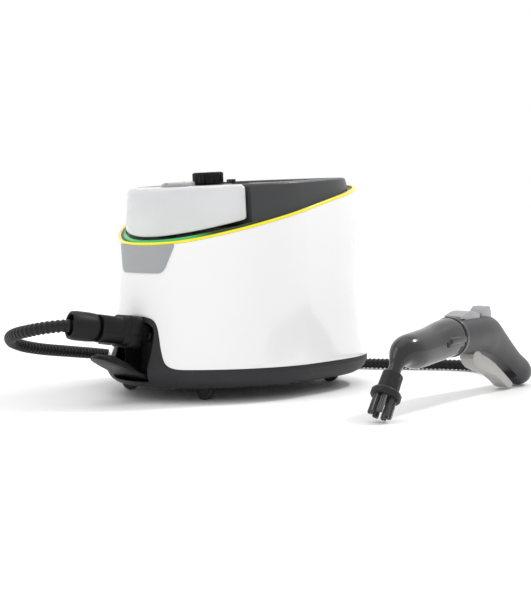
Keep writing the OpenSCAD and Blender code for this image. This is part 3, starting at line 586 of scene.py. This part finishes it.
house = make("grey_housing", *loft(rings), "housing_grey", smooth=45)
cut(house, [prism("h1", circle(0, -36.5, 9.3), "z", 236, 300), prism("h2", [(48, -46.5), (78, -46.5), (78, -26.5), (48, -26.5)], "z", 250.5, 300)], "housing_grey", 45)
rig.ride(house, "machine"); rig.replaces(house, "rear_housing")

# badge plate, left blank
bx = list(np.linspace(-45.8, -30, 24)) + list(np.linspace(-28, 28, 29)) + list(np.linspace(30, 45.8, 24))
BL = np.array([(0, 150.5), (28, 150.5), (30, 150.8), (32, 151.5), (33.6, 152.4), (35, 153.8), (36.1, 155.4), (37.2, 157.8), (46, 182)])
rings = []
for x in bx:
    a = float(np.interp(abs(x), BL[:, 0], BL[:, 1])); b = rim_z(-150) - TRIM_H - 0.6 + 0.00055 * x * x * 2
    ring = []
    zl = [lerp(a, b, f) for f in np.linspace(1, 0, 9)]
    ring += [(x, ysf(x, z, -0.15), z) for z in zl]
    ring += [(x, ysf(x, z, -1.3), z) for z in reversed(zl)]
    rings.append(ring)
badge = make("badge_front", *loft(rings), "badge_silver", smooth=50)
bv = badge.modifiers.new("bevel", "BEVEL"); bv.width = 0.0003; bv.segments = 2; bv.limit_method = "ANGLE"; bv.angle_limit = math.radians(50)
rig.ride(badge, "machine"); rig.replaces(badge, "badge_plate")

# water tank
TT_F = [t for t in FRONT if pt(t, 230, 9)[1] < TANK_Y - 9]
TANK_T = [-t for t in reversed(TT_F[1:])] + TT_F


def tank_ring(kind, dz, o, dy, r=7.0):
    zz = (lambda y: tank_zb(y) + dz) if kind == 0 else (lambda y: top_z(y) + dz)
    yc = TANK_Y - dy
    X = xsf(yc - r, zz(yc - r), o)
    arc = [math.radians(a) for a in (0, 15, 30, 45, 60, 75, 90)]
    # narrows towards its back edge the way the body does
    left = [(-(X - r + r * math.cos(a)), yc - r + r * math.sin(a)) for a in reversed(arc)]
    right = [(X - r + r * math.cos(a), yc - r + r * math.sin(a)) for a in arc]
    out = [(x, y, zz(y)) for x, y in left]
    for t in TANK_T:
        p = pt(t, zz(pt(t, 230, o)[1]), o)
        out.append((p[0], p[1], zz(p[1])))
    out += [(x, y, zz(y)) for x, y in right]
    return out


outer = [tank_ring(0, 0.8, 12.5, 2), tank_ring(0, 0, 11.0, 1.2), tank_ring(0, 0.4, 10.0, 0.5), tank_ring(0, 1.5, 9.3, 0), tank_ring(0, 4, 9.3, 0)]
a_r, b_r = tank_ring(0, 4, 9.3, 0), tank_ring(1, -7, 10.5, 0)
for f in (0.2, 0.4, 0.6, 0.8, 1.0):
    outer.append([tuple(lerp(np.array(p), np.array(q), f)) for p, q in zip(a_r, b_r)])
outer += [tank_ring(1, z, o, dy) for z, o, dy in [(-5, 10.7, 0), (-3.6, 11.1, 0.1), (-2.4, 11.7, 0.3), (-1.5, 12.4, 0.7), (-0.75, 13.3, 1.2), (-0.25, 14.4, 1.8), (0, 15.8, 2.6)]]
inner = [tank_ring(0, 2.6, 12.4, 2.8), tank_ring(1, -7, 13.2, 2.8), tank_ring(1, -3.4, 14.4, 3.2), tank_ring(1, -2.4, 16.2, 4.2)]
tank = make("tank_body", *loft(outer), "tank_smoke", smooth=45)
tin = make("tank_hollow", *loft(inner), "tank_smoke")
cut(tank, [tin, prism("t1", circle(0, -92, 13.2), "z", 245, 280), prism("t2", circle(0, -108, 9.2), "z", 180, 216)], "tank_smoke", 45)
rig.ride(tank, "tank"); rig.replaces(tank, "water_tank")


# ------------------------------------------------------------------ steam gun
def gun_ring(s, z, a, hh, hw, us, groove=()):
    ar = math.radians(a)
    out = []
    for i, u in enumerate(us):
        g = 0.45 if i in groove else 0.0
        ur = math.radians(u)
        out.append((s - (hh - g) * math.sin(ur) * math.sin(ar), (hw - g) * math.cos(ur), z + (hh - g) * math.sin(ur) * math.cos(ar)))
    return out


def spline(rows, k):
    """Catmull-Rom through rows of numbers, k steps a span."""
    P = np.array(rows, float)
    out = []
    n = len(P)
    for i in range(n - 1):
        a = P[i - 1] if i > 0 else 2 * P[0] - P[1]
        b, c = P[i], P[i + 1]
        d = P[i + 2] if i < n - 2 else 2 * P[-1] - P[-2]
        for j in range(k):
            u = j / k
            out.append(0.5 * (2 * b + (c - a) * u + (2 * a - 5 * b + 4 * c - d) * u * u + (3 * b - a - 3 * c + d) * u ** 3))
    out.append(P[-1])
    return out


US = []
for q in range(4):
    b0_, step = q * 90, 90
    US += [b0_] if q % 2 == 0 else [b0_ - 1.4, b0_, b0_ + 1.4]
    US += [b0_ + x for x in (7.5, 15, 22.5, 30, 37.5, 45, 52.5, 60, 67.5, 75, 82.5)]
GROOVE = [i for i, u in enumerate(US) if abs(u - 90) < 0.5 or abs(u - 270) < 0.5]
GP = [[166.4, 77, 0, 22.7, 22.7], [186, 77, 0, 22.7, 22.7], [205, 77, 0, 22.7, 22.7], [228, 76, -5, 23.5, 22], [246, 73, -12, 25, 21], [262, 68.5, -22, 25.5, 19.5],
      [282, 58.5, -28, 22.5, 18], [305, 46, -29, 19.5, 17], [330, 31, -28, 18, 17.2], [352, 19.2, -24, 18.6, 18.2], [366, 14.9, -18, 14.5, 14.5], [371.5, 13.9, -17, 10.6, 10.6], [374, 13.6, -16, 7, 7]]
path = spline(GP, 7)
rings = [gun_ring(166.4, 77, 0, 21.6, 21.6, US)] + [gun_ring(166.9, 77, 0, 22.5, 22.5, US)]
for q in path[1:]:
    # stay just inside the lowest line of the solid
    rings.append(gun_ring(q[0], q[1], q[2], q[3] - 0.05, q[4] - 0.05, US, GROOVE))
rings.append(gun_ring(374.4, 13.5, -16, 4, 4, US))
gun = make("gun_body", *loft(rings), "gun_grey", "gun", smooth=40)
trig_cut = [(203.6, 30), (203.6, 59), (222, 59), (250, 53), (282, 40), (328, 18), (328, -5), (300, -5)]
cuts = [prism("g1", [(a, b) for a, b in trig_cut], "y", -10.4, 10.4, "gun"),
        prism("g2", [(166.8, 91.8), (220.8, 91.8), (220.8, 115), (166.8, 115)], "y", -11.6, 11.6, "gun"),
        prism("g3", [(225, 92.5), (261, 92.5), (261, 115), (225, 115)], "y", -8.8, 8.8, "gun")]
# room for the hose boot
bd = np.array([math.cos(math.radians(44)), math.sin(math.radians(44)), -0.15]); bd /= np.linalg.norm(bd)
bu = np.cross([0, 0, 1], bd); bu /= np.linalg.norm(bu); bw = np.cross(bd, bu)
b0p = np.array([356, 0, 19.0])
vs, fs = loft([[tuple(b0p + h * bd + 12.4 * (bu * math.cos(2 * math.pi * i / 40) + bw * math.sin(2 * math.pi * i / 40))) for i in range(40)] for h in (-2, 38)])
cuts.append(make("g4", vs, fs, "part_grey", "gun"))
cut(gun, cuts, "gun_grey", 40)
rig.ride(gun, "gun"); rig.replaces(gun, "gun_shell_left", "gun_shell_right")

# bent nozzle
NZ = [[27.7, 48.3, 53, 7.1], [30.9, 52.3, 53, 7.3], [33, 55, 52, 7.4], [37, 60, 48, 9.4], [44, 65.5, 38, 13.4], [52.5, 68.2, 24, 17], [62, 69, 14, 19.3], [76, 69.2, 6, 20.4],
      [107, 71.6, 4, 20.8], [135, 75, 4, 22], [150, 76.6, 2, 22.4], [156.4, 77, 0, 22.5]]
US2 = [7.5 * i for i in range(48)]
rings = []
for q in spline(NZ, 7):
    rings.append(gun_ring(q[0], q[1], q[2], q[3] - 0.03, q[3] - 0.03, US2))
rings.append(gun_ring(157.2, 77, 0, 22.2, 22.2, US2))
rings.append(gun_ring(157.6, 77, 0, 21.4, 21.4, US2))
rings.append(gun_ring(157.6, 77, 0, 15, 15, US2))
rings.append(gun_ring(173.8, 77, 0, 15, 15, US2))
nozzle = make("nozzle_body", *loft(rings), "nozzle_black", "gun", smooth=45)
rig.ride(nozzle, "nozzle"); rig.replaces(nozzle, "bent_nozzle")


def near_y(s, z):
    """The nozzle's near side at a point along it and a height."""
    rr = float(np.interp(s, [q[0] for q in NZ], [q[3] for q in NZ]))
    zc = float(np.interp(s, [q[0] for q in NZ], [q[1] for q in NZ]))
    return -math.sqrt(max(0.0, rr * rr - (z - zc) ** 2))


# raised latch rail on the near side, and under it a flat black patch of painted shade standing in for the recessed
# release slot
for nm, s0, s1, z0, z1, rise, slot_name in (("latch_rail", 121, 156.5, 72.5, 80.5, 1.3, "nozzle_black"), ("latch_catch", 113, 120, 69.5, 76.5, 0.9, "castor_black"),
                                            ("latch_slot_painted_shade", 147.5, 156.5, 60.5, 68.5, 0.35, "seal_black")):
    rings = []
    sl = [s0, s0 + 0.5, s0 + 1.5] + list(np.linspace(s0 + 3, s1 - 2, 10)) + [s1 - 0.8, s1]
    for i, s_ in enumerate(sl):
        k = [0.0, 0.55, 0.9][i] if i < 3 else (0.75 if i == len(sl) - 1 else 1.0)
        inset = [1.6, 0.7, 0.2][i] if i < 3 else 0.0
        zl = np.linspace(z0 + inset, z1 - inset, 9)
        ring = []
        for j, z_ in enumerate(zl):
            e = min(j, 8 - j)
            h = rise * k * (0.0, 0.8, 1.0, 1.0, 1.0)[e]
            ring.append((s_, near_y(s_, z_) - h, z_))
        ring += [(s_, near_y(s_, z_) + 1.5, z_) for z_ in reversed(zl)]
        rings.append(ring)
    rail = make(nm, *loft(rings), slot_name, "gun", smooth=40)
    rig.ride(rail, "nozzle")

# bristles: seven tufts of separate fibres
TIP = np.array([-2.5, 0, 8.0])
c37, s37 = math.cos(math.radians(37)), math.sin(math.radians(37))


def brush_pt(p):
    x, y, z = p
    return (TIP[0] + x * c37 + z * s37, TIP[1] + y, TIP[2] - x * s37 + z * c37)


for part, slot_name, seed in (("dark", "bristle_grey", 3), ("light", "bristle_light", 4)):
    r2 = random.Random(seed)
    verts, faces = [], []
    for k in range(7):
        a0 = 2 * math.pi * k / 7
        cx, cy = 10.2 * math.cos(a0), 10.2 * math.sin(a0)
        for _ in range(80 if part == "dark" else 34):
            rr = 2.9 * math.sqrt(r2.random()); aa = 2 * math.pi * r2.random()
            x0, y0 = cx + rr * math.cos(aa), cy + rr * math.sin(aa)
            sp = 1.0 + 0.22 * r2.random()
            x1, y1 = cx + rr * sp * math.cos(aa) + r2.uniform(-0.12, 0.12), cy + rr * sp * math.sin(aa) + r2.uniform(-0.12, 0.12)
            zt = r2.uniform(0.15, 1.3)
            n0 = len(verts)
            for (x, y, z, w) in ((x0, y0, 21.5, 0.26), ((x0 + x1) / 2, (y0 + y1) / 2, 11, 0.25), (x1, y1, zt, 0.19)):
                for q in range(5):
                    b = 2 * math.pi * q / 5
                    verts.append(brush_pt((x + w * math.cos(b), y + w * math.sin(b), z)))
            for i in range(2):
                for q in range(5):
                    w_ = (q + 1) % 5
                    faces.append((n0 + i * 5 + q, n0 + (i + 1) * 5 + q, n0 + (i + 1) * 5 + w_, n0 + i * 5 + w_))
            faces.append(tuple(n0 + q for q in range(5)))
            faces.append(tuple(n0 + 10 + q for q in range(4, -1, -1)))
    br = make("bristles_" + part, verts, faces, slot_name, "gun")
    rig.slot(br, "bristle_grey")
    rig.ride(br, "brush")
    if part == "dark":
        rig.replaces(br, "brush_bristles")


# ------------------------------------------------------------------ hose plug
def plug_pt(p):
    x, y, z = p
    a = math.radians(-9)
    return (x, y * math.cos(a) - z * math.sin(a) - 135, y * math.sin(a) + z * math.cos(a) + 76)


def rrect(w, h, r, y):
    out = []
    for q in range(4):
        cx = w / 2 - r if q in (0, 3) else r - w / 2
        cz = h / 2 - r if q < 2 else r - h / 2
        # a point in the middle of each side as well, for the parting groove
        for a in range(0, 91, 10):
            an = math.radians(a + 90 * q)
            out.append((cx + r * math.cos(an), cz + r * math.sin(an)))
        if q in (1, 3):
            sx = -1 if q == 1 else 1
            for zz_, g in (((1.1, 0), (0.55, 0.45), (-0.55, 0.45), (-1.1, 0)) if q == 1 else ((-1.1, 0), (-0.55, 0.45), (0.55, 0.45), (1.1, 0))):
                out.append((sx * (w / 2 - g), zz_ - 3.5))
    return [plug_pt((x, y, z)) for x, z in out]


sec = [(-18.5, 34, 23, 5), (-30.0, 34, 23, 5), (-30.05, 35, 35, 6), (-30.6, 37, 37, 6.8), (-31.7, 38, 38, 7), (-44.4, 38, 38, 7), (-45.4, 37.5, 37.6, 7.2), (-46.1, 36, 36.6, 8), (-46.5, 33.8, 35.4, 9), (-47.3, 33, 35, 9), (-50.8, 33, 35, 9),
       (-51.6, 32.4, 34.4, 9.4), (-52.1, 31, 33, 10.4), (-52.8, 30, 32, 11), (-84, 30, 32, 11), (-85.2, 29.2, 31.2, 10.8), (-85.9, 27.6, 29.6, 10.4)]
rings = [rrect(w, h, r, y) for y, w, h, r in sec]
plug = make("plug_shell", *loft(rings), "plug_black", smooth=35)
vs = []
box_c = [(-7, -80, -22), (7, -80, -22), (7, -58, -22), (-7, -58, -22), (-7, -80, -11.4), (7, -80, -11.4), (7, -58, -11.4), (-7, -58, -11.4)]
pc = make("pcut", [plug_pt(p) for p in box_c], [(0, 3, 2, 1), (4, 5, 6, 7), (0, 1, 5, 4), (1, 2, 6, 5), (2, 3, 7, 6), (3, 0, 4, 7)], "part_grey")
cut(plug, [pc], "plug_black", 35)
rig.ride(plug, "machine"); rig.replaces(plug, "plug_body")

# ------------------------------------------------------------------ corrugated hose
BG = np.array([356, 0, 19.0]) + 52.6 * np.array([math.cos(math.radians(44)), math.sin(math.radians(44)), -0.15])
BOOT_END = np.array([BG[0] * math.cos(YAW) - BG[1] * math.sin(YAW), BG[0] * math.sin(YAW) + BG[1] * math.cos(YAW), BG[2]]) + GUN_AT
HA = [[-3.5, -230.8, 91.2], [-8.6, -246.5, 93.2], [-17, -258, 93], [-33, -270, 90.5], [-52, -277, 86.5], [-73, -277, 82], [-93, -270, 76.5], [-109, -257, 70],
      [-118, -243, 65], [-123, -226, 60], [-128, -196, 54], [-134, -156, 48], [-140, -115, 42], [-146, -70, 35], [-150, -25, 27], [-153, 20, 19], [-154, 62, 13], [-154, 104, 9], [-153, 145, 7.8]]
COIL = [[-236 + 84 * math.cos(a), 186 + 84 * math.sin(a), 7.7 + 15.6 * a / (2 * math.pi)] for a in np.radians(np.arange(0, 657, 9.0))]
HB = [[-153, 141, 33], [-118, 165, 25.5], [-82, 190, 17], [-46, 214, 11], [-10, 239, 8.4], [26, 264, 7.8], [58, 286, 7.7], [90, 308, 7.7],
      [120, 329, 7.7], [139, 337.5, 7.7], [159, 339.5, 7.7], [178, 335, 8.1], [195, 325, 9], [214, 309, 10.2], list(BOOT_END)]
dense = np.array(spline(HA + COIL + HB, 24))
seg = np.linalg.norm(np.diff(dense, axis=0), axis=1)
cum = np.concatenate([[0], np.cumsum(seg)])
LEN = float(cum[-1])
STEP = 1.2
ss = np.arange(0, LEN, STEP)
P = np.stack([np.interp(ss, cum, dense[:, i]) for i in range(3)], 1)
P = np.vstack([P, dense[-1]]); ss = np.append(ss, LEN)
T = np.gradient(P, axis=0); T /= np.linalg.norm(T, axis=1)[:, None]
nv = np.cross([0, 0, 1.0], T[0]); nv /= np.linalg.norm(nv)
verts, faces = [], []
SIDES = 22
for i in range(len(P)):
    nv = nv - T[i] * np.dot(nv, T[i]); nv /= np.linalg.norm(nv)
    w = np.cross(T[i], nv)
    ph = (ss[i] % 6.0) / 6.0
    # broad round ridges with a narrower valley
    r = 7.45 - 1.25 * (0.5 + 0.5 * math.cos(2 * math.pi * ph)) ** 1.6
    for j in range(SIDES):
        a = 2 * math.pi * j / SIDES
        verts.append(tuple(P[i] + r * (nv * math.cos(a) + w * math.sin(a))))
for i in range(len(P) - 1):
    for j in range(SIDES):
        k = (j + 1) % SIDES
        faces.append((i * SIDES + j, i * SIDES + k, (i + 1) * SIDES + k, (i + 1) * SIDES + j))
faces.append(tuple(range(SIDES - 1, -1, -1)))
faces.append(tuple((len(P) - 1) * SIDES + j for j in range(SIDES)))
hose = make("steam_hose", verts, faces, "hose_black", smooth=80)
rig.replaces(hose, "hose_tube_a", "hose_coil", "hose_tube_b")
W = lambda p: tuple(float(x) for x in (np.array(p) + MACH) * MM)
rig.blend(hose, "machine", "gun", start=W((110, 300, 8)), end=W((216, 335, 8)))
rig.cord(hose, exit=W(P[0]), length=round(LEN * MM, 3), diameter=0.015, far_end="object", stiffness="medium", lay="loose",
        path=[W(p) for p in P[::5]] + [W(P[-1])], with_pieces=[plug, NODES["plug_collar"], NODES["plug_release"]])

# ------------------------------------------------------------------ finish of the CAD nodes that show
slot_of = {s["node"]: s["material_slot"] for s in frame["record"]["subparts"]}
BEVEL = {"control_knob": 0.00025, "hose_boot": 0.0004, "gun_trigger": 0.0013, "unlock_button": 0.0011, "flow_selector": 0.0014, "socket_cover": 0.0008, "carry_handle": 0.001,
         "power_switch": 0.0006, "knob_plate": 0.0005, "socket_housing": 0.0006, "plug_release": 0.0008, "filler_cap": 0.0004, "brush_body": 0.0004, "gun_collar": 0.0004}
for n, o in NODES.items():
    if o.hide_render:
        continue
    o.data.materials.clear()
    o.data.materials.append(MATS[slot_of[n]])
    for p in o.data.polygons:
        p.use_smooth = True
    wd = o.modifiers.new("weld", "WELD"); wd.merge_threshold = 1e-6
    bv = o.modifiers.new("bevel", "BEVEL")
    bv.width = BEVEL.get(n, 0.0003); bv.segments = 3 if n in BEVEL else 2
    bv.limit_method = "ANGLE"; bv.angle_limit = math.radians(32)
    bv.harden_normals = True

# ------------------------------------------------------------------ floor, light, camera
floor = make("floor", [(-9000, -9000, -0.2), (9000, -9000, -0.2), (9000, 9000, -0.2), (-9000, 9000, -0.2)], [(0, 1, 2, 3)], "part_grey", closed_fix=False)
fm = bpy.data.materials.new("floor_pale"); fm.use_nodes = True
fb = [n for n in fm.node_tree.nodes if n.type == "BSDF_PRINCIPLED"][0]
fb.inputs["Base Color"].default_value = (0.93, 0.93, 0.93, 1)
fb.inputs["Roughness"].default_value = 0.6
fb.inputs["Specular IOR Level"].default_value = 0.15
floor.data.materials.clear(); floor.data.materials.append(fm)
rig.stage(floor)

world = bpy.context.scene.world or bpy.data.worlds.new("world")
bpy.context.scene.world = world
world.use_nodes = True
bg = [n for n in world.node_tree.nodes if n.type == "BACKGROUND"][0]
bg.inputs["Color"].default_value = (1, 1, 1, 1)
bg.inputs["Strength"].default_value = 1.0


def area(name, at, look, sx, sy, power):
    d = bpy.data.lights.new(name, "AREA")
    d.shape = "RECTANGLE"; d.size = sx; d.size_y = sy; d.energy = power
    o = bpy.data.objects.new(name, d)
    bpy.context.scene.collection.objects.link(o)
    o.location = at
    o.rotation_euler = (Vector(look) - Vector(at)).to_track_quat("-Z", "Y").to_euler()
    return o


area("key", (-0.9, -1.3, 1.7), (-0.08, 0.0, 0.1), 1.2, 1.2, 7)
sun_d = bpy.data.lights.new("sun", "SUN")
sun_d.energy = 1.3
sun_d.angle = math.radians(7)
sun = bpy.data.objects.new("sun", sun_d)
bpy.context.scene.collection.objects.link(sun)
sun.rotation_euler = Vector((-0.30, -0.72, -0.95)).to_track_quat("-Z", "Y").to_euler()
area("top", (-0.1, 0.1, 2.0), (-0.1, 0.0, 0.0), 1.6, 1.6, 4)

cam_d = bpy.data.cameras.new("camera")
cam = bpy.data.objects.new("camera", cam_d)
bpy.context.scene.collection.objects.link(cam)
cam.location = ((1018.1 + MACH[0]) * MM, (-1075.4 + MACH[1]) * MM, 206.5 * MM)
cam.rotation_euler = (math.radians(90), 0, math.radians(41.57))
cam_d.lens = 69.0
cam_d.sensor_width = 36.0
cam_d.shift_y = -0.124
cam_d.clip_end = 60
bpy.context.scene.camera = cam
bpy.context.scene.view_settings.view_transform = "Standard"

size_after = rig.bounds()


def plain(b):
    return [[float(x) for x in p] for p in b]


json.dump({"before": plain(size_before), "after": plain(size_after)}, open("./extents.json", "w"))
